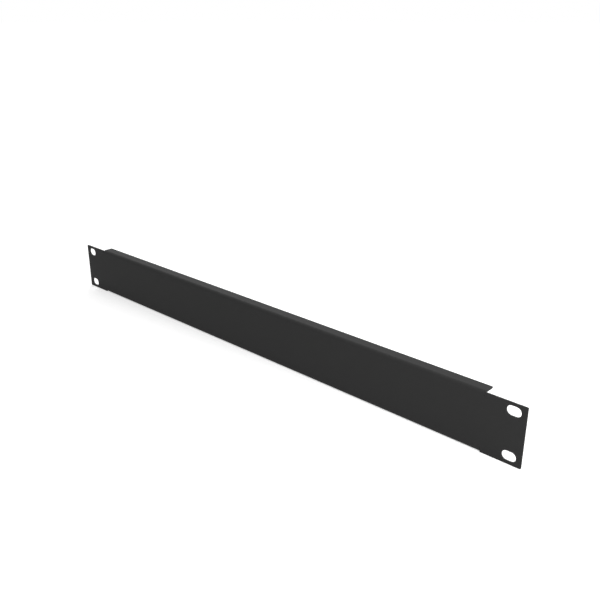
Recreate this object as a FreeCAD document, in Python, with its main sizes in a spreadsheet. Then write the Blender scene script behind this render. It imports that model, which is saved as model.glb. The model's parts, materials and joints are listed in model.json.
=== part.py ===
"""Rack blanking panel for a 19 inch rack, one unit high: one steel sheet, cut and folded.

The flat web runs the whole width and ends in an ear with two slots at each side. Between the
ears the top and bottom edges of the sheet are folded to the rear, which makes a shallow channel.

Millimetres. +X runs along the width, +Y to the rear of the rack and +Z up. The origin is the
middle of the four fixing slots on the rear face of the ears, the face that meets the rack's rails.
"""

import FreeCAD, Part
import math
import os
import Sketcher

SIZES = {
    "panel_width": 482.6,  # overall, 19 inches
    "ear_height": 43.0,  # flat ears, top to bottom
    "ear_length": 28.8,  # end of the panel to the end of the folds
    "sheet_thickness": 1.2,
    "fold_depth": 10.0,  # front face to the rear edge of a fold
    "fold_proud": 0.25,  # how far a fold stands above, or below, the edge of the ears
    "bend_radius": 1.6,  # inside of each bend
    "slot_length": 10.0,  # overall, along the width
    "slot_width": 7.0,
    "slot_inset_x": 8.75,  # centre of a slot to the end of the panel
    "slot_inset_z": 5.625,  # centre of a slot to the edge of the ear
    "relief_width": 0.3,  # slit between the end of a bend and the flat ear
    "relief_run_on": 0.5,  # straight part of the slit past the start of the bend
    "corner_radius": 0.5,  # ends of the ears and rear corners of the folds
    "edge_round": 0.15,  # cut edges of the outer skin; the inner skin's are square
}

PART_NAME = "panel"
FOLD_END = "(sizes.panel_width / 2 - sizes.ear_length)"
FOLD_LEVEL = "(sizes.ear_height / 2 + sizes.fold_proud)"
OUTSIDE_BEND = "(sizes.bend_radius + sizes.sheet_thickness)"
SLOT_ACROSS = "(sizes.panel_width / 2 - sizes.slot_inset_x)"
SLOT_LEVEL = "(sizes.ear_height / 2 - sizes.slot_inset_z)"
START, END, CENTRE = range(1, 4)
ORIGIN = (-1, START)
SHARP_ANGLE = math.radians(30)
NEAR = 1e-6


def write_sizes(doc):
    """Put each driving size in the spreadsheet, under its own name."""
    sheet = doc.addObject("Spreadsheet::Sheet", "sizes")
    for row, (name, value) in enumerate(SIZES.items(), start=1):
        sheet.set(f"A{row}", name)
        sheet.set(f"B{row}", str(value))
        sheet.setAlias(f"B{row}", name)
    doc.recompute()


def origin_plane(body, role):
    """Return the body's own origin plane with this role."""
    return next(item for item in body.Origin.OriginFeatures if item.Role == role)


def add_sketch(body, name, role):
    """Start a sketch on one of the body's origin planes."""
    sketch = body.newObject("Sketcher::SketchObject", name)
    sketch.AttachmentSupport = [(origin_plane(body, role), "")]
    sketch.MapMode = "FlatFace"
    return sketch


def add_line(sketch, start, end):
    """Add a line and return its index."""
    return sketch.addGeometry(Part.LineSegment(FreeCAD.Vector(*start, 0), FreeCAD.Vector(*end, 0)))


def add_arc(sketch, centre, radius, start_deg, end_deg):
    """Add an arc that runs counterclockwise and return its index."""
    circle = Part.Circle(FreeCAD.Vector(*centre, 0), FreeCAD.Vector(0, 0, 1), radius)
    return sketch.addGeometry(Part.ArcOfCircle(circle, math.radians(start_deg), math.radians(end_deg)))


def relate(sketch, kind, *groups):
    """Add one geometric constraint to each group of elements."""
    for group in groups:
        sketch.addConstraint(Sketcher.Constraint(kind, *group))


def dimension(sketch, kind, where, name, formula):
    """Add a dimension that takes its value from a formula of the spreadsheet's sizes."""
    before_recompute = 1.0
    index = sketch.addConstraint(Sketcher.Constraint(kind, *where, before_recompute))
    sketch.renameConstraint(index, name)
    sketch.setExpression(f"Constraints.{name}", formula)


def sketch_section(body):
    """Draw the folded section, seen along the width: the web and two folds with round bends."""
    thickness = SIZES["sheet_thickness"]
    inside = SIZES["bend_radius"]
    outside = inside + thickness
    level = SIZES["ear_height"] / 2 + SIZES["fold_proud"]
    bend = level - outside
    rear = SIZES["fold_depth"] - thickness

    sketch = add_sketch(body, "Section", "YZ_Plane")
    top_face = add_line(sketch, (rear, level), (inside, level))
    top_outside = add_arc(sketch, (inside, bend), outside, 90, 180)
    front_face = add_line(sketch, (-thickness, bend), (-thickness, -bend))
    low_outside = add_arc(sketch, (inside, -bend), outside, 180, 270)
    low_face = add_line(sketch, (inside, -level), (rear, -level))
    low_lip = add_line(sketch, (rear, -level), (rear, thickness - level))
    low_back = add_line(sketch, (rear, thickness - level), (inside, thickness - level))
    low_inside = add_arc(sketch, (inside, -bend), inside, 180, 270)
    rear_face = add_line(sketch, (0, -bend), (0, bend))
    top_inside = add_arc(sketch, (inside, bend), inside, 90, 180)
    top_back = add_line(sketch, (inside, level - thickness), (rear, level - thickness))
    top_lip = add_line(sketch, (rear, level - thickness), (rear, level))

    smooth_joins = [
        (top_face, END, top_outside, START),
        (top_outside, END, front_face, START),
        (front_face, END, low_outside, START),
        (low_outside, END, low_face, START),
        (low_back, END, low_inside, END),
        (low_inside, START, rear_face, START),
        (rear_face, END, top_inside, END),
        (top_inside, START, top_back, START),
    ]
    lip_corners = [
        (low_face, END, low_lip, START),
        (low_lip, END, low_back, START),
        (top_back, END, top_lip, START),
        (top_lip, END, top_face, START),
    ]
    bend_centres = [
        (top_outside, CENTRE, top_inside, CENTRE),
        (low_outside, CENTRE, low_inside, CENTRE),
    ]
    relate(sketch, "Tangent", *smooth_joins)
    relate(sketch, "Coincident", *lip_corners, *bend_centres)
    relate(sketch, "Horizontal", (top_face,), (low_face,), (top_back,), (low_back,))
    relate(sketch, "Vertical", (front_face,), (rear_face,), (top_lip,), (low_lip,))
    relate(sketch, "Vertical", (top_face, START, low_face, END))
    relate(sketch, "Symmetric", (rear_face, START, rear_face, END, *ORIGIN))
    relate(sketch, "Equal", (top_inside, low_inside))
    dimension(sketch, "DistanceX", (front_face, START, *ORIGIN), "web", "sizes.sheet_thickness")
    dimension(sketch, "Radius", (top_inside,), "bend", "sizes.bend_radius")
    dimension(sketch, "DistanceY", (*ORIGIN, top_face, START), "level", FOLD_LEVEL)
    dimension(sketch, "DistanceX", (front_face, START, top_face, START), "depth", "sizes.fold_depth")
    return sketch


def sketch_ear(body):
    """Draw the right ear: a plain rectangle from the end of the folds to the end of the panel."""
    outer = SIZES["panel_width"] / 2
    inner = outer - SIZES["ear_length"]
    half = SIZES["ear_height"] / 2

    sketch = add_sketch(body, "EarOutline", "XZ_Plane")
    low = add_line(sketch, (inner, -half), (outer, -half))
    end = add_line(sketch, (outer, -half), (outer, half))
    top = add_line(sketch, (outer, half), (inner, half))
    root = add_line(sketch, (inner, half), (inner, -half))

    corners = [
        (low, END, end, START),
        (end, END, top, START),
        (top, END, root, START),
        (root, END, low, START),
    ]
    relate(sketch, "Coincident", *corners)
    relate(sketch, "Horizontal", (low,), (top,))
    relate(sketch, "Vertical", (end,), (root,))
    dimension(sketch, "DistanceX", (*ORIGIN, root, START), "inner_end", FOLD_END)
    dimension(sketch, "DistanceX", (low, START, low, END), "length", "sizes.ear_length")
    dimension(sketch, "DistanceY", (*ORIGIN, end, END), "top_edge", "sizes.ear_height / 2")
    dimension(sketch, "DistanceY", (end, START, end, END), "height", "sizes.ear_height")
    return sketch


def sketch_slot(body):
    """Draw the upper right fixing slot, with round ends."""
    radius = SIZES["slot_width"] / 2
    middle = SIZES["panel_width"] / 2 - SIZES["slot_inset_x"]
    level = SIZES["ear_height"] / 2 - SIZES["slot_inset_z"]
    reach = SIZES["slot_length"] / 2 - radius

    sketch = add_sketch(body, "SlotOutline", "XZ_Plane")
    right = add_arc(sketch, (middle + reach, level), radius, -90, 90)
    top = add_line(sketch, (middle + reach, level + radius), (middle - reach, level + radius))
    left = add_arc(sketch, (middle - reach, level), radius, 90, 270)
    low = add_line(sketch, (middle - reach, level - radius), (middle + reach, level - radius))
    centre = sketch.addGeometry(Part.Point(FreeCAD.Vector(middle, level, 0)), True)

    smooth_joins = [
        (right, END, top, START),
        (top, END, left, START),
        (left, END, low, START),
        (low, END, right, START),
    ]
    relate(sketch, "Tangent", *smooth_joins)
    relate(sketch, "Horizontal", (top,))
    relate(sketch, "Equal", (right, left))
    relate(sketch, "Symmetric", (right, CENTRE, left, CENTRE, centre, START))
    dimension(sketch, "DistanceX", (*ORIGIN, centre, START), "across", SLOT_ACROSS)
    dimension(sketch, "DistanceY", (*ORIGIN, centre, START), "level", SLOT_LEVEL)
    dimension(sketch, "Radius", (right,), "end_radius", "sizes.slot_width / 2")
    straight = "sizes.slot_length - sizes.slot_width"
    dimension(sketch, "DistanceX", (left, CENTRE, right, CENTRE), "straight", straight)
    return sketch


def sketch_relief(body):
    """Draw the upper right bend relief: a slit with a round bottom, open at the edge of the ear."""
    inner = SIZES["panel_width"] / 2 - SIZES["ear_length"]
    radius = SIZES["relief_width"] / 2
    level = SIZES["ear_height"] / 2 + SIZES["fold_proud"]
    bottom = level - SIZES["bend_radius"] - SIZES["sheet_thickness"] - SIZES["relief_run_on"]

    sketch = add_sketch(body, "ReliefOutline", "XZ_Plane")
    left = add_line(sketch, (inner, level), (inner, bottom))
    round_end = add_arc(sketch, (inner + radius, bottom), radius, 180, 360)
    right = add_line(sketch, (inner + 2 * radius, bottom), (inner + 2 * radius, level))
    top = add_line(sketch, (inner + 2 * radius, level), (inner, level))

    relate(sketch, "Tangent", (left, END, round_end, START), (round_end, END, right, START))
    relate(sketch, "Coincident", (right, END, top, START), (top, END, left, START))
    relate(sketch, "Horizontal", (top,))
    relate(sketch, "Vertical", (left,), (right,))
    dimension(sketch, "DistanceX", (*ORIGIN, left, START), "inner_wall", FOLD_END)
    dimension(sketch, "Radius", (round_end,), "end_radius", "sizes.relief_width / 2")
    dimension(sketch, "DistanceY", (*ORIGIN, left, START), "top_level", FOLD_LEVEL)
    dimension(sketch, "DistanceY", (left, END, left, START), "depth", f"{OUTSIDE_BEND} + sizes.relief_run_on")
    return sketch


def add_pad(body, name, sketch, side, length):
    """Raise a sketch into solid sheet, on one side of its plane or evenly on both."""
    pad = body.newObject("PartDesign::Pad", name)
    pad.Profile = sketch
    pad.SideType = side
    pad.setExpression("Length", length)
    return pad


def add_cut(body, name, sketch):
    """Cut a sketch right through the sheet."""
    cut = body.newObject("PartDesign::Pocket", name)
    cut.Profile = sketch
    cut.Type = "ThroughAll"
    cut.SideType = "Symmetric"
    return cut


def add_mirrors(body, name, originals, roles):
    """Repeat features across origin planes, one plane after the other."""
    pattern = body.newObject("PartDesign::MultiTransform", name)
    pattern.Originals = originals
    mirrors = []
    for role in roles:
        mirror = body.newObject("PartDesign::Mirrored", f"{name}_{role}")
        mirror.MirrorPlane = (origin_plane(body, role), [""])
        mirrors.append(mirror)
    pattern.Transformations = mirrors
    body.Tip = pattern
    return pattern


def turn_across(shape, edge):
    """Return the angle between the two faces that meet at an edge, half way along it."""
    middle = edge.valueAt((edge.FirstParameter + edge.LastParameter) / 2)
    faces = shape.ancestorsOfType(edge, Part.Face)
    first, second = (face.normalAt(*face.Surface.parameter(middle)) for face in faces)
    return first.getAngle(second)


def outer_skin(shape):
    """Return the front face of the web and every face that runs on smoothly from it."""
    skin = []
    waiting = [min(shape.Faces, key=lambda face: face.CenterOfMass.y)]
    while waiting:
        face = waiting.pop()
        if any(face.isSame(known) for known in skin):
            continue
        skin.append(face)
        for edge in face.Edges:
            if turn_across(shape, edge) < SHARP_ANGLE:
                waiting.extend(shape.ancestorsOfType(edge, Part.Face))
    return skin


def blank_corner(edge):
    """Tell whether an edge is a corner of the sheet, at the end of an ear or of a fold's lip."""
    straight = edge.Curve.TypeId == "Part::GeomLine"
    across_sheet = straight and abs(edge.Length - SIZES["sheet_thickness"]) < NEAR
    ear_end = abs(abs(edge.CenterOfMass.x) - SIZES["panel_width"] / 2) < NEAR
    lip_end = abs(edge.CenterOfMass.y - SIZES["fold_depth"] + SIZES["sheet_thickness"]) < NEAR
    return across_sheet and (ear_end or lip_end)


def add_fillet(body, name, base, chosen, radius):
    """Round the edges of a feature that a test chooses."""
    edges = enumerate(base.Shape.Edges, start=1)
    fillet = body.newObject("PartDesign::Fillet", name)
    fillet.Base = (base, [f"Edge{number}" for number, edge in edges if chosen(edge)])
    fillet.setExpression("Radius", radius)
    body.Tip = fillet
    return fillet


def add_panel(doc):
    """Build the panel: folded channel, ears, slots and reliefs, then corners and edges."""
    body = doc.addObject("PartDesign::Body", PART_NAME)
    body.Label = PART_NAME
    add_pad(body, "Channel", sketch_section(body), "Symmetric", f"2 * {FOLD_END}")
    ear = add_pad(body, "Ear", sketch_ear(body), "One side", "sizes.sheet_thickness")
    add_mirrors(body, "Ears", [ear], ["YZ_Plane"])
    slot = add_cut(body, "Slot", sketch_slot(body))
    relief = add_cut(body, "Relief", sketch_relief(body))
    cuts = add_mirrors(body, "Cuts", [slot, relief], ["YZ_Plane", "XY_Plane"])
    doc.recompute()

    corners = add_fillet(body, "Corners", cuts, blank_corner, "sizes.corner_radius")
    doc.recompute()

    shape = corners.Shape
    skin_edges = [edge for face in outer_skin(shape) for edge in face.Edges]
    cut_edges = [edge for edge in skin_edges if turn_across(shape, edge) > SHARP_ANGLE]

    def is_cut_edge(edge):
        """Tell whether an edge of the solid is one of the skin's cut edges."""
        return any(edge.isSame(known) for known in cut_edges)

    add_fillet(body, "RoundedEdges", corners, is_cut_edge, "sizes.edge_round")
    doc.recompute()
    return body


def check(doc, body):
    """Stop if a feature failed, if one changed nothing or if the panel isn't one sound solid."""
    for item in doc.Objects:
        if {"Invalid", "Error"} & set(item.State):
            raise RuntimeError(f"{item.Name} failed: {item.State}")
    before = 0.0
    for feature in (item for item in body.Group if hasattr(item, "AddSubShape")):
        if math.isclose(feature.Shape.Volume, before, rel_tol=1e-9):
            raise RuntimeError(f"{feature.Name} changes nothing")
        before = feature.Shape.Volume
    shape = body.Shape
    if shape.isNull() or not shape.isValid() or len(shape.Solids) != 1:
        raise RuntimeError(f"{body.Label} isn't one sound solid")


def main():
    """Build the document, check it and write the panel's STEP file."""
    doc = FreeCAD.newDocument("rack_blanking_panel")
    write_sizes(doc)
    panel = add_panel(doc)
    check(doc, panel)
    os.makedirs("parts", exist_ok=True)
    panel.Shape.exportStep(f"parts/{panel.Label}.step")
    box = panel.Shape.optimalBoundingBox(False)
    print(f"{panel.Label}: {box.XLength:.2f} x {box.YLength:.2f} x {box.ZLength:.2f} mm")
    print(f"volume {panel.Shape.Volume:.1f} mm3, {len(panel.Shape.Faces)} faces")


main()
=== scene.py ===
"""Rack blanking panel: the folded and coated sheet, with its floor, lamps and camera.

Lengths are in metres. +X runs along the width, +Y to the rear of the rack and +Z up.
"""

import json
import logging
import math
from dataclasses import dataclass
from enum import Enum
from typing import Iterable, Mapping

import bpy
import numpy as np
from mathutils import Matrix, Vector


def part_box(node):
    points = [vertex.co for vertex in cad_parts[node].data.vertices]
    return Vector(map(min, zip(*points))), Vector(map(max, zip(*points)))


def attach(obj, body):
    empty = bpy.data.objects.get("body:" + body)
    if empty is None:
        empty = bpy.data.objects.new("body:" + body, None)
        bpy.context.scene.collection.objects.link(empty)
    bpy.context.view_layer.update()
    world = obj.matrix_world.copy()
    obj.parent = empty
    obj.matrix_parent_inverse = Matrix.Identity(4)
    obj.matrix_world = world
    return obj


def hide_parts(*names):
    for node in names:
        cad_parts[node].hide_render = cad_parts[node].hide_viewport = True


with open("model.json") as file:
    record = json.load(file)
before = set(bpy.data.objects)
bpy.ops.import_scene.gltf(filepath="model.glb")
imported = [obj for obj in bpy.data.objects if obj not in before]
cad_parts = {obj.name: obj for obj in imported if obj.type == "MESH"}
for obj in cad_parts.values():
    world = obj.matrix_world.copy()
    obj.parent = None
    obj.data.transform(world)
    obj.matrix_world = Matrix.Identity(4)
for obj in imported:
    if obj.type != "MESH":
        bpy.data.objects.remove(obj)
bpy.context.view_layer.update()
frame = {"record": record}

LOG = logging.getLogger("rack_panel")
MM = 0.001
QUARTER_TURN = math.pi / 2

WELD_REACH = 1e-7  # metres: points of a shell that round to the same multiple of it are one
SMALLEST_FACE = 1e-14  # square metres: a face is dropped unless twice its area is more
FEWEST_STEPS = 2  # along a straight run of a cut edge
NOISE_MIDDLE = 0.5  # the value that a noise pattern varies about

Colour = tuple[float, float, float, float]


class Skin(Enum):
    """The two faces of the sheet."""

    FRONT = "front"
    REAR = "rear"


# --------------------------------------------------------------------------------------------------
# Outlines and surfaces


@dataclass(frozen=True)
class CutEdge:
    """A line on the flat blank where the sheet is cut: points, and the way out of the metal at each.

    A point is (across, level): its place along the panel's width and its height on the unfolded blank.
    """

    points: np.ndarray
    outward: np.ndarray

    @classmethod
    def straight(
        cls,
        start: tuple[float, float],
        end: tuple[float, float],
        outward: tuple[float, float],
        steps: int,
        outward_at_end: tuple[float, float] | None = None,
    ) -> "CutEdge":
        """Makes a straight run: start plus a share of the way to the end, with even shares.

        Args:
            start: The first point.
            end: The last point.
            outward: The direction out of the metal at the start.
            steps: The number of equal lengths.
            outward_at_end: That direction at the end, if it changes evenly along the run.

        Returns:
            The run.
        """
        share = np.linspace(0.0, 1.0, steps + 1)[:, None]
        last = outward if outward_at_end is None else outward_at_end
        points = np.array(start) * (1 - share) + np.array(end) * share
        return cls(points, np.array(outward) * (1 - share) + np.array(last) * share)

    @classmethod
    def arc(
        cls,
        centre: tuple[float, float],
        radius: float,
        angles: tuple[float, float],
        steps: int,
        hollow: bool = False,
    ) -> "CutEdge":
        """Makes an arc: the centre plus the radius along an even fan of angles.

        Args:
            centre: The arc's centre.
            radius: The arc's radius.
            angles: The first and last angle, in radians from the width's direction.
            steps: The number of equal turns.
            hollow: True where the metal lies outside the arc, so that out of it is towards the centre.

        Returns:
            The arc.
        """
        angle = np.linspace(*angles, steps + 1)
        ray = np.stack([np.cos(angle), np.sin(angle)], axis=1)
        return cls(np.array(centre) + radius * ray, -ray if hollow else ray)

    @classmethod
    def joined(cls, parts: Iterable["CutEdge"]) -> "CutEdge":
        """Joins runs end to end, with each shared point kept once.

        Args:
            parts: The runs in order, each starting where the one before it ends.

        Returns:
            The joined line.
        """
        first, *others = parts
        points = [first.points] + [part.points[1:] for part in others]
        outward = [first.outward] + [part.outward[1:] for part in others]
        return cls(np.concatenate(points), np.concatenate(outward))

    def reversed(self) -> "CutEdge":
        """Gives the same line, run through from its end."""
        return CutEdge(self.points[::-1], self.outward[::-1])

    def set_in(self, inset: np.ndarray | float) -> np.ndarray:
        """Gives the line moved into the metal by one inset, or one copy of it for each of several."""
        return self.points - np.multiply.outer(inset, self.outward)


@dataclass(frozen=True)
class EdgeProfile:
    """The section of a coated cut edge: a wall with a round onto each skin, the front one larger."""

    thickness: float
    front_round: float
    rear_round: float
    front_steps: int = 6
    rear_steps: int = 4

    def inset(self, skin: Skin) -> float:
        """Tells how far inside the wall the edge's round meets a skin."""
        return self.front_round if skin is Skin.FRONT else self.rear_round

    def section(self) -> tuple[np.ndarray, np.ndarray, np.ndarray, np.ndarray]:
        """Works out the section: a quarter circle, a straight wall and a second quarter circle.

        Returns:
            For each point from the front skin to the rear one, the inset from the wall, the depth under the
            front skin, and the normal's parts out of the edge and towards the front.
        """
        front = np.linspace(0.0, QUARTER_TURN, self.front_steps + 1)
        rear = np.linspace(0.0, QUARTER_TURN, self.rear_steps + 1)
        inset = [self.front_round * (1 - np.sin(front)), self.rear_round * (1 - np.cos(rear))]
        depth = [
            self.front_round * (1 - np.cos(front)),
            self.thickness - self.rear_round * (1 - np.sin(rear)),
        ]
        out = [np.sin(front), np.cos(rear)]
        forward = [np.cos(front), -np.sin(rear)]
        return tuple(np.concatenate(part) for part in (inset, depth, out, forward))


@dataclass(frozen=True)
class Patch:
    """A grid of surface points, rows by columns, with the outward normal at each."""

    points: np.ndarray
    normals: np.ndarray

    def mirrored(self, across: int, level: int) -> "Patch":
        """Gives the patch with its width and height multiplied by 1 or -1."""
        signs = np.array([across, 1, level])
        return Patch(self.points * signs, self.normals * signs)

    def faces(self) -> np.ndarray:
        """Finds the squares between neighbouring rows and columns.

        Returns:
            The four corners of each square, as places in the grid, counted row by row.
        """
        rows, columns = self.points.shape[:2]
        corner = np.arange(rows * columns).reshape(rows, columns)
        squares = [corner[:-1, :-1], corner[:-1, 1:], corner[1:, 1:], corner[1:, :-1]]
        return np.stack(squares, axis=-1).reshape(-1, 4)


class Shell:
    """One closed mesh made of patches that meet along their borders."""

    def __init__(self, patches: Iterable[Patch]) -> None:
        """Puts the patches together and joins the points that coincide.

        Args:
            patches: The patches, whose borders have the same points where they meet.
        """
        patches = list(patches)
        points = np.concatenate([patch.points.reshape(-1, 3) for patch in patches])
        normals = np.concatenate([patch.normals.reshape(-1, 3) for patch in patches])
        starts = np.cumsum([0] + [patch.points.shape[0] * patch.points.shape[1] for patch in patches])
        faces = np.concatenate([patch.faces() + start for patch, start in zip(patches, starts)])
        cells = np.round(points / WELD_REACH).astype(np.int64)
        _, kept, place = np.unique(cells, axis=0, return_index=True, return_inverse=True)
        self.points = points[kept]
        self.normals = normals[kept]
        self.faces = self._outward(place.reshape(-1)[faces])

    def _outward(self, faces: np.ndarray) -> np.ndarray:
        """Turns round each face whose direction, the cross of its diagonals, opposes its corners' normals.

        Args:
            faces: Four corners for each face.

        Returns:
            The faces that have an area, all facing outwards.
        """
        corner = self.points[faces]
        direction = np.cross(corner[:, 2] - corner[:, 0], corner[:, 3] - corner[:, 1])
        facing = np.einsum("ij,ij->i", direction, self.normals[faces].sum(axis=1))
        turned = np.where(facing[:, None] < 0, faces[:, ::-1], faces)
        return turned[np.linalg.norm(direction, axis=1) > SMALLEST_FACE]

    def put(self, name: str) -> bpy.types.Object:
        """Makes the Blender object of this shell, smooth, with the worked-out normals.

        Args:
            name: The object's name.

        Returns:
            The object, at the origin.
        """
        mesh = bpy.data.meshes.new(name)
        mesh.from_pydata(self.points.tolist(), [], self.faces.tolist())
        mesh.polygons.foreach_set("use_smooth", np.ones(len(mesh.polygons), bool))
        mesh.normals_split_custom_set_from_vertices(self.normals.tolist())
        piece = bpy.data.objects.new(name, mesh)
        bpy.context.scene.collection.objects.link(piece)
        return piece


# --------------------------------------------------------------------------------------------------
# The panel


@dataclass(frozen=True)
class FoldedPanel:
    """The blanking panel: one sheet with a slotted ear at each end, folded to the rear at top and bottom.

    One quarter of the sheet is worked out on its flat blank, and each point is then carried round the bend.
    """

    width: float
    height: float
    thickness: float
    fold_depth: float
    slot_spacing: tuple[float, float]
    slot_length: float
    slot_radius: float
    ear_length: float = 28.8 * MM  # from the panel's end to the folds' end
    fold_proud: float = 0.25 * MM  # how far a fold stands above, or below, the ears' edge
    inside_bend: float = 1.6 * MM  # the bend's radius on the rear skin
    relief_width: float = 0.3 * MM  # the slit between a fold and an ear
    relief_run_on: float = 0.5 * MM  # the straight part of the slit past the start of the bend
    relief_lip: float = 0.2 * MM  # the round at the slit's mouth, on the ear's side
    corner_radius: float = 0.5 * MM  # the ends of the ears and of the folds' lips
    front_round: float = 0.15 * MM
    rear_round: float = 0.08 * MM
    edge_step: float = 0.9 * MM  # the longest step along a straight cut
    bend_steps: int = 16
    corner_steps: int = 8
    columns: int = 14  # from the panel's middle to a fold's end
    ear_shares: tuple[float, ...] = (0.0, 0.06, 0.35, 0.65, 0.94, 1.0)  # rows from slot to ear's edge

    @classmethod
    def from_frame(cls, node: str, slots: str) -> "FoldedPanel":
        """Takes the panel's outer sizes from its CAD node and the slots' sizes from the record.

        Args:
            node: The CAD node of the sheet. The rear face of its ears lies at y = 0.
            slots: The name of the record's bolt pattern.

        Returns:
            The panel.
        """
        low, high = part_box(node)
        pattern = next(mount["dims"] for mount in frame["record"]["mounts"] if mount["name"] == slots)
        return cls(
            width=high.x - low.x,
            height=high.z - low.z,
            thickness=-low.y,
            fold_depth=high.y - low.y,
            slot_spacing=(pattern["spacing_x_mm"] * MM, pattern["spacing_y_mm"] * MM),
            slot_length=pattern["slot_length_mm"] * MM,
            slot_radius=pattern["hole_r_mm"] * MM,
        )

    @property
    def fold_end(self) -> float:
        """How far the folds reach from the middle."""
        return self.width / 2 - self.ear_length

    @property
    def relief_centre(self) -> tuple[float, float]:
        """The centre of the round end of the relief slit between a fold and an ear."""
        return (self.fold_end + self.relief_width / 2, self.bend_start - self.relief_run_on)

    @property
    def outside_bend(self) -> float:
        """The bend's radius on the front skin."""
        return self.inside_bend + self.thickness

    @property
    def bend_start(self) -> float:
        """The level on the blank where the bend starts."""
        return self.height / 2 - self.outside_bend

    @property
    def bend_end(self) -> float:
        """The level on the blank where the bend ends."""
        return self.bend_start + self.outside_bend * QUARTER_TURN

    @property
    def blank_top(self) -> float:
        """The level of the fold's lip on the blank."""
        return self.bend_end + self.fold_depth - self.outside_bend

    @property
    def profile(self) -> EdgeProfile:
        """The section of every cut edge."""
        return EdgeProfile(self.thickness, self.front_round, self.rear_round)

    def steps_along(self, length: float) -> int:
        """Tells how many steps a straight run of that length takes."""
        return max(FEWEST_STEPS, math.ceil(length / self.edge_step))

    def lip_shares(self) -> np.ndarray:
        """Spaces the columns from the middle to the fold's end, with a last narrow one beside the edge."""
        even = np.linspace(0.0, 1.0, self.columns + 1)
        return np.insert(even, -1, 1 - self.corner_radius / self.fold_end)

    def carried(
        self, blank: np.ndarray, depth: np.ndarray | float, folded: bool
    ) -> tuple[np.ndarray, np.ndarray, np.ndarray]:
        """Carries points of the flat blank to the folded sheet.

        Up to the bend a point stays at its level. Along the bend, its way past the bend's start over the
        outside radius is its angle round the bend's axis, at the outside radius less its depth. Past the
        bend it runs on to the rear.

        Args:
            blank: Points on the blank, with across and level last.
            depth: Each point's depth under the front skin.
            folded: False on the ears, which have no bend.

        Returns:
            The points, and at each the direction of rising level and the front skin's normal.
        """
        across, level = blank[..., 0], blank[..., 1]
        start = self.bend_start if folded else np.inf
        angle = np.clip((level - start) / self.outside_bend, 0.0, QUARTER_TURN)
        past = np.maximum(level - start - self.outside_bend * QUARTER_TURN, 0.0)
        radius = self.outside_bend - depth
        sine, cosine, flat = np.sin(angle), np.cos(angle), np.zeros_like(angle)
        back = self.outside_bend - self.thickness - radius * cosine + past * sine
        height = np.minimum(level, start) + radius * sine + past * cosine
        rising = np.stack([flat, sine, cosine], axis=-1)
        front = np.stack([flat, -cosine, sine], axis=-1)
        return np.stack([across, back, height], axis=-1), rising, front

    def ear_edge(self) -> CutEdge:
        """Runs round the ear's quarter, from the panel's end at mid height to the relief slit's bottom.

        Returns:
            The edge: the end, its corner, the top, the slit's mouth, its wall and half its round bottom.
        """
        end, top = self.width / 2, self.height / 2 - self.fold_proud
        corner, lip, slit_radius = self.corner_radius, self.relief_lip, self.relief_width / 2
        wall, slit_level = self.relief_centre[0] + slit_radius, self.relief_centre[1]
        end_steps, top_steps = self.steps_along(top - corner), self.steps_along(self.ear_length)
        wall_steps, round_steps = self.steps_along(top - slit_level), self.corner_steps
        return CutEdge.joined([
            CutEdge.straight((end, 0), (end, top - corner), (1, 0), end_steps),
            CutEdge.arc((end - corner, top - corner), corner, (0, QUARTER_TURN), round_steps),
            CutEdge.straight((end - corner, top), (wall + lip, top), (0, 1), top_steps),
            CutEdge.arc((wall + lip, top - lip), lip, (QUARTER_TURN, math.pi), round_steps),
            CutEdge.straight((wall, top - lip), (wall, slit_level), (-1, 0), wall_steps),
            CutEdge.arc(self.relief_centre, slit_radius, (0, -QUARTER_TURN), round_steps, hollow=True),
        ])

    def fold_end_edge(self) -> CutEdge:
        """Runs from the bottom of the relief slit up the fold's end and round the corner of its lip.

        Returns:
            The edge: half the slit's round bottom, its wall, the bend, the fold's flat and the corner.
        """
        end, corner, slit_radius = self.fold_end, self.corner_radius, self.relief_width / 2
        slit_turn, slit_level = (-QUARTER_TURN, -math.pi), self.relief_centre[1]
        start, stop, flat_top = self.bend_start, self.bend_end, self.blank_top - corner
        slit_steps, flat_steps = self.steps_along(self.relief_run_on), self.steps_along(flat_top - stop)
        return CutEdge.joined([
            CutEdge.arc(self.relief_centre, slit_radius, slit_turn, self.corner_steps, hollow=True),
            CutEdge.straight((end, slit_level), (end, start), (1, 0), slit_steps),
            CutEdge.straight((end, start), (end, stop), (1, 0), self.bend_steps),
            CutEdge.straight((end, stop), (end, flat_top), (1, 0), flat_steps),
            CutEdge.arc((end - corner, flat_top), corner, (0, QUARTER_TURN), self.corner_steps),
        ])

    def lip_edge(self) -> CutEdge:
        """Runs along the fold's lip, from its corner to the middle of the panel.

        Returns:
            The edge, with a point at each column of the channel.
        """
        across = (self.fold_end - self.corner_radius) * self.lip_shares()[::-1]
        level = np.full_like(across, self.blank_top)
        outward = np.tile([0.0, 1.0], (len(across), 1))
        return CutEdge(np.stack([across, level], axis=1), outward)

    def seam(self) -> CutEdge:
        """Runs down the uncut metal between the ear and the channel, from the relief slit to mid height."""
        across, bottom = self.relief_centre[0], self.relief_centre[1] - self.relief_width / 2
        return CutEdge.straight((across, bottom), (across, 0), (0, 1), self.steps_along(bottom), (0, 0))

    def ear_loop(self) -> CutEdge:
        """Closes the outline of the ear's quarter.

        Returns:
            The ear's cut edge, the seam, and the line at mid height back to the panel's end.
        """
        start, end = (self.relief_centre[0], 0), (self.width / 2, 0)
        middle = CutEdge.straight(start, end, (0, 0), self.steps_along(self.ear_length), (1, 0))
        return CutEdge.joined([self.ear_edge(), self.seam(), middle])

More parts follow.
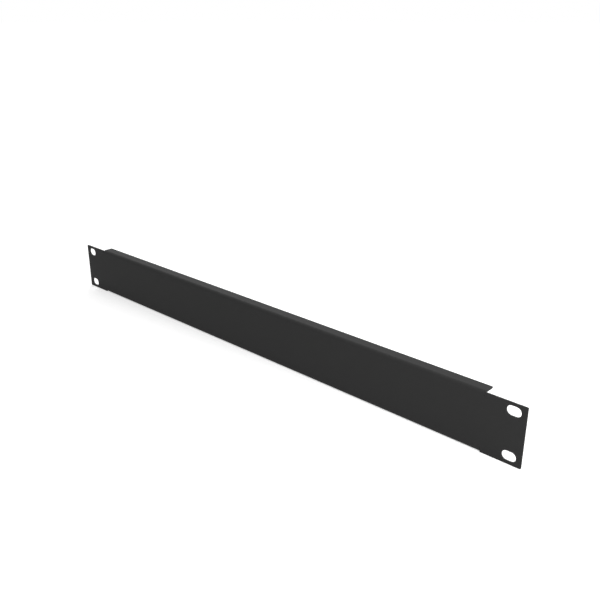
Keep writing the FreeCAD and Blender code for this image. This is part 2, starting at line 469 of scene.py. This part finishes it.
    def slot_edge(self) -> CutEdge:
        """Runs round the slot, through the point nearest to each point of the ear's loop.

        The nearest point lies one radius along the ray from the slot's middle line to the loop's point.

        Returns:
            The whole slot's edge, with one point for each point of the loop.
        """
        centre = np.array(self.slot_spacing) / 2
        half_line = self.slot_length / 2 - self.slot_radius
        target = self.ear_loop().points
        foot = np.stack([
            np.clip(target[:, 0], centre[0] - half_line, centre[0] + half_line),
            np.full(len(target), centre[1]),
        ], axis=1)
        ray = target - foot
        ray /= np.linalg.norm(ray, axis=1, keepdims=True)
        return CutEdge(foot + self.slot_radius * ray, -ray)

    def rim(self, edge: CutEdge, folded: bool) -> Patch:
        """Carries the edge's section along a cut.

        Args:
            edge: The cut on the blank.
            folded: True where the cut goes round the bend.

        Returns:
            The rounded rim.
        """
        inset, depth, out, forward = self.profile.section()
        blank = edge.set_in(inset)
        points, rising, front = self.carried(blank, depth[:, None], folded)
        along = np.zeros_like(points)
        along[..., 0] = edge.outward[:, 0]
        outward = along + edge.outward[:, 1, None] * rising
        return Patch(points, out[:, None, None] * outward + forward[:, None, None] * front)

    def skin(self, blank: np.ndarray, skin: Skin, folded: bool) -> Patch:
        """Lays a grid of blank points on one skin of the sheet.

        Args:
            blank: The points on the blank.
            skin: The skin.
            folded: False on the ears, which have no bend.

        Returns:
            The patch of that skin.
        """
        depth = 0.0 if skin is Skin.FRONT else self.thickness
        points, _, front = self.carried(blank, depth, folded)
        return Patch(points, front if skin is Skin.FRONT else -front)

    def ear_skin(self, skin: Skin) -> Patch:
        """Rules straight lines from the slot's edge to the ear's loop.

        A point is the slot's edge times 1 less its share of the way, plus the loop times that share.

        Args:
            skin: The skin.

        Returns:
            The ear's patch of that skin.
        """
        inset = self.profile.inset(skin)
        share = np.array(self.ear_shares)[:, None, None]
        slot, loop = self.slot_edge().set_in(inset), self.ear_loop().set_in(inset)
        return self.skin(slot * (1 - share) + loop * share, skin, folded=False)

    def channel_skin(self, skin: Skin) -> Patch:
        """Rules level lines from the panel's middle to the seam and the fold's end.

        A point is a share of the way across to that border, at the border's level.

        Args:
            skin: The skin.

        Returns:
            The web's and the fold's patch of that skin.
        """
        edge = CutEdge.joined([self.seam().reversed(), self.fold_end_edge()])
        border = edge.set_in(self.profile.inset(skin))
        share = self.lip_shares()[:, None]
        across = share * border[:, 0]
        level = np.broadcast_to(border[:, 1], across.shape)
        return self.skin(np.stack([across, level], axis=-1), skin, folded=True)

    def quarter(self) -> list[Patch]:
        """Makes the quarter at the top right.

        Returns:
            Its patches: the rims of its cut edges, and its two skins.
        """
        patches = [self.rim(self.ear_edge(), folded=False), self.rim(self.slot_edge(), folded=False)]
        patches += [self.rim(self.fold_end_edge(), folded=True), self.rim(self.lip_edge(), folded=True)]
        for skin in Skin:
            patches += [self.ear_skin(skin), self.channel_skin(skin)]
        return patches

    def build(self, name: str) -> bpy.types.Object:
        """Makes the whole sheet: the quarter and its three mirror images, joined into one closed shell.

        Args:
            name: The sheet's name.

        Returns:
            The sheet.
        """
        quarter = self.quarter()
        sides = [(1, 1), (-1, 1), (1, -1), (-1, -1)]
        return Shell([patch.mirrored(*side) for side in sides for patch in quarter]).put(name)


# --------------------------------------------------------------------------------------------------
# Shaders


class Number:
    """A value of a shader tree, on which Python's arithmetic adds Math nodes."""

    def __init__(self, tree: "ShaderTree", socket: bpy.types.NodeSocket) -> None:
        """Wraps an output socket of a tree."""
        self.tree = tree
        self.socket = socket

    def _math(self, operation: str, first: "Number | float", second: "Number | float") -> "Number":
        """Adds one Math node.

        Args:
            operation: The node's operation.
            first: The value that the operation starts from.
            second: The other value.

        Returns:
            The result.
        """
        values = {"Value": first, "Value_001": second}
        node = self.tree.add("ShaderNodeMath", {"operation": operation}, values)
        return Number(self.tree, node.outputs["Value"])

    def __add__(self, other: "Number | float") -> "Number":
        """Adds a value."""
        return self._math("ADD", self, other)

    def __radd__(self, other: float) -> "Number":
        """Is added to a number."""
        return self._math("ADD", other, self)

    def __sub__(self, other: "Number | float") -> "Number":
        """Takes a value off."""
        return self._math("SUBTRACT", self, other)

    def __rsub__(self, other: float) -> "Number":
        """Is taken off a number."""
        return self._math("SUBTRACT", other, self)

    def __mul__(self, other: "Number | float") -> "Number":
        """Multiplies by a value."""
        return self._math("MULTIPLY", self, other)

    def __rmul__(self, other: float) -> "Number":
        """Multiplies a number."""
        return self._math("MULTIPLY", other, self)


class ShaderTree:
    """The nodes of one material or of the world, with one way to add a node."""

    def __init__(self, owner: bpy.types.Material | bpy.types.World) -> None:
        """Empties the owner's tree.

        Args:
            owner: The material or the world.
        """
        owner.use_nodes = True
        self.nodes = owner.node_tree.nodes
        self.links = owner.node_tree.links
        self.nodes.clear()

    def add(
        self, kind: str, settings: Mapping[str, object], sockets: Mapping[str, object]
    ) -> bpy.types.Node:
        """Adds a node.

        Args:
            kind: The node's type.
            settings: Its settings, which are made before its sockets are fed.
            sockets: For each socket's identifier, a number, a colour, a wrapped value or an output socket.

        Returns:
            The node.
        """
        node = self.nodes.new(kind)
        for name, value in settings.items():
            setattr(node, name, value)
        inputs = {socket.identifier: socket for socket in node.inputs}
        for name, value in sockets.items():
            source = value.socket if isinstance(value, Number) else value
            if isinstance(source, bpy.types.NodeSocket):
                self.links.new(source, inputs[name])
            else:
                inputs[name].default_value = source
        return node

    def noise(self, spacing: float, detail: float, place: bpy.types.NodeSocket) -> Number:
        """Adds a noise pattern whose lumps are about the given spacing apart."""
        sockets = {"Vector": place, "Scale": 1 / spacing, "Detail": detail}
        return Number(self, self.add("ShaderNodeTexNoise", {}, sockets).outputs["Fac"])

    def blend(self, factor: Number, first: Colour, second: Colour) -> bpy.types.NodeSocket:
        """Mixes two colours.

        Args:
            factor: The share of the second colour.
            first: The colour at 0.
            second: The colour at 1.

        Returns:
            The mixed colour's socket.
        """
        sockets = {"Factor_Float": factor, "A_Color": first, "B_Color": second}
        mix = self.add("ShaderNodeMix", {"data_type": "RGBA"}, sockets)
        return next(socket for socket in mix.outputs if socket.identifier == "Result_Color")

    def seen_directly(self) -> Number:
        """Tells rays that show the surface from rays that only carry its light.

        Returns:
            1 on rays from the camera, or sent on by a gloss or a glass, and 0 on the others.
        """
        path = self.add("ShaderNodeLightPath", {}, {}).outputs
        seen = Number(self, path["Is Camera Ray"]) + Number(self, path["Is Glossy Ray"])
        return seen + Number(self, path["Is Transmission Ray"])


@dataclass(frozen=True)
class PowderCoat:
    """A fine-textured matt black powder coat, baked on metal."""

    dark: Colour = (0.012, 0.012, 0.012, 1)
    light: Colour = (0.020, 0.020, 0.020, 1)
    roughness: float = 0.75
    roughness_spread: float = 0.12
    gloss_level: float = 0.2
    grain_spacing: float = 0.35 * MM
    flow_spacing: float = 1.6 * MM  # the shallow waves that the powder leaves as it melts
    patch_spacing: float = 45 * MM
    grain_detail: float = 2.0
    flow_detail: float = 1.0
    patch_detail: float = 2.0
    relief: float = 0.02 * MM
    grain_in_relief: float = 0.45
    grain_in_shade: float = 0.7
    grain_in_gloss: float = 0.6

    def material(self, name: str) -> bpy.types.Material:
        """Makes the coat: fine grains on shallow waves, with a little change of shade and gloss.

        Each of relief, shade and gloss is the grain times its share, plus a broader pattern times the rest.

        Args:
            name: The material's name.

        Returns:
            The material.
        """
        material = bpy.data.materials.new(name)
        tree = ShaderTree(material)
        place = tree.add("ShaderNodeTexCoord", {}, {}).outputs["Object"]
        grain = tree.noise(self.grain_spacing, self.grain_detail, place)
        flow = tree.noise(self.flow_spacing, self.flow_detail, place)
        patch = tree.noise(self.patch_spacing, self.patch_detail, place)
        height = self.grain_in_relief * grain + (1 - self.grain_in_relief) * flow
        shade = self.grain_in_shade * grain + (1 - self.grain_in_shade) * patch
        gloss = self.grain_in_gloss * grain + (1 - self.grain_in_gloss) * patch - NOISE_MIDDLE
        bump = tree.add("ShaderNodeBump", {}, {"Distance": self.relief, "Height": height})
        coat = tree.add("ShaderNodeBsdfPrincipled", {}, {
            "Base Color": tree.blend(shade, self.dark, self.light),
            "Roughness": self.roughness + self.roughness_spread * gloss,
            "Specular IOR Level": self.gloss_level,
            "Normal": bump.outputs["Normal"],
        })
        tree.add("ShaderNodeOutputMaterial", {}, {"Surface": coat.outputs["BSDF"]})
        return material


@dataclass(frozen=True)
class PaleFloor:
    """A plain white studio floor, wide enough to reach the horizon.

    It is lifted to full white where it is seen, less near the panel, so that the panel's shadow stays.
    """

    level: float
    reach: float = 30.0  # from the panel's middle to the floor's edge
    shade: float = 0.86
    lift_near: float = 0.4  # the glow that is seen up to the near distance
    lift_far: float = 0.86  # the glow that is seen past the far distance
    near: float = 0.3
    far: float = 1.4
    steps: int = 24

    def build(self, name: str) -> bpy.types.Object:
        """Makes the floor: a square grid whose lines lie at the reach times the cube of an even share.

        Args:
            name: The floor's name.

        Returns:
            The floor.
        """
        line = self.reach * np.linspace(-1.0, 1.0, self.steps + 1) ** 3
        across, back = np.meshgrid(line, line)
        points = np.stack([across, back, np.full_like(across, self.level)], axis=-1)
        upward = np.broadcast_to([0.0, 0.0, 1.0], points.shape)
        floor = Shell([Patch(points, upward)]).put(name)
        floor.data.materials.append(self.material(name))
        return floor

    def material(self, name: str) -> bpy.types.Material:
        """Makes the matt white, whose lift grows with the distance from the panel's middle.

        Args:
            name: The material's name.

        Returns:
            The material.
        """
        material = bpy.data.materials.new(name)
        tree = ShaderTree(material)
        place = tree.add("ShaderNodeTexCoord", {}, {}).outputs["Object"]
        away = tree.add("ShaderNodeVectorMath", {"operation": "LENGTH"}, {"Vector": place})
        lift = tree.add("ShaderNodeMapRange", {"interpolation_type": "SMOOTHSTEP"}, {
            "Value": away.outputs["Value"],
            "From Min": self.near,
            "From Max": self.far,
            "To Min": self.lift_near,
            "To Max": self.lift_far,
        })
        matt = tree.add("ShaderNodeBsdfPrincipled", {}, {
            "Base Color": (self.shade, self.shade, self.shade, 1),
            "Roughness": 1.0,
            "Specular IOR Level": 0.0,
            "Emission Color": Number(tree, lift.outputs["Result"]) * tree.seen_directly(),
            "Emission Strength": 1.0,
        })
        tree.add("ShaderNodeOutputMaterial", {}, {"Surface": matt.outputs["BSDF"]})
        return material


# --------------------------------------------------------------------------------------------------
# Light and camera


@dataclass(frozen=True)
class SoftBox:
    """A square soft lamp that faces the panel's middle."""

    name: str
    place: tuple[float, float, float]
    side: float
    level: float

    def power(self) -> float:
        """Gives the watts that light a facing white surface to the level: (pi * distance)^2 * level."""
        return (math.pi * Vector(self.place).length) ** 2 * self.level

    def build(self) -> bpy.types.Object:
        """Makes the lamp.

        Returns:
            The lamp.
        """
        light = bpy.data.lights.new(self.name, "AREA")
        light.size = self.side
        light.energy = self.power()
        lamp = bpy.data.objects.new(self.name, light)
        lamp.location = self.place
        lamp.rotation_euler = (-Vector(self.place)).to_track_quat("-Z", "Y").to_euler()
        bpy.context.scene.collection.objects.link(lamp)
        return lamp


@dataclass(frozen=True)
class WhiteRoom:
    """Even white surroundings, full white where they are seen."""

    strength: float = 0.2

    def build(self) -> bpy.types.World:
        """Makes the world: its own strength as light, and 1 where the camera or a gloss sees it.

        Returns:
            The world.
        """
        world = bpy.data.worlds.new("white_room")
        tree = ShaderTree(world)
        seen = tree.seen_directly()
        strength = self.strength * (1 - seen) + seen
        white = tree.add("ShaderNodeBackground", {}, {"Color": (1, 1, 1, 1), "Strength": strength})
        tree.add("ShaderNodeOutputWorld", {}, {"Surface": white.outputs["Background"]})
        bpy.context.scene.world = world
        return world


@dataclass(frozen=True)
class Viewpoint:
    """The camera, to the right of the panel's front and a little above it."""

    place: tuple[float, float, float] = (399.2 * MM, -368.0 * MM, 238.0 * MM)
    heading: float = math.radians(43.136)
    tilt_down: float = math.radians(21.42)
    lens: float = 43.34
    sensor: float = 36.0
    seen_from: float = 0.01
    seen_to: float = 200.0

    def build(self) -> bpy.types.Object:
        """Makes the camera, turned from straight at the front by its heading and then tilted down.

        Returns:
            The camera.
        """
        data = bpy.data.cameras.new("viewpoint")
        data.lens = self.lens
        data.sensor_width = self.sensor
        data.clip_start = self.seen_from
        data.clip_end = self.seen_to
        camera = bpy.data.objects.new("viewpoint", data)
        camera.location = self.place
        camera.rotation_euler = (QUARTER_TURN - self.tilt_down, 0.0, self.heading)
        bpy.context.scene.collection.objects.link(camera)
        bpy.context.scene.camera = camera
        return camera


def main() -> None:
    """Builds the panel and the studio round it."""
    panel = FoldedPanel.from_frame("panel", "rack_slots").build("coated_panel")
    panel.data.materials.append(PowderCoat().material("powder_coat"))
    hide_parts("panel")
    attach(panel, "root")
    LOG.info("%s: %d faces", panel.name, len(panel.data.polygons))

    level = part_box("panel")[0].z
    floor = PaleFloor(level).build("studio_floor")
    LOG.info("%s at %.4f m", floor.name, level)

    WhiteRoom().build()
    lamps = [
        SoftBox("overhead", place=(0.0, 0.0, 1.3), side=1.0, level=0.22),
        SoftBox("front_right", place=(0.7, -0.35, 0.45), side=0.4, level=0.78),
        SoftBox("left", place=(-1.0, 0.5, 1.0), side=0.9, level=0.24),
        SoftBox("rear_left", place=(-0.8, 1.0, 0.9), side=0.9, level=0.16),
        SoftBox("rear_right", place=(0.8, 1.3, 0.35), side=0.9, level=0.84),
    ]
    for lamp in lamps:
        LOG.info("lamp %s", lamp.build().name)
    LOG.info("camera %s", Viewpoint().build().name)
    bpy.context.scene.view_settings.view_transform = "Standard"


if __name__ == "__main__":
    logging.basicConfig(level=logging.INFO, format="%(message)s")
    main()
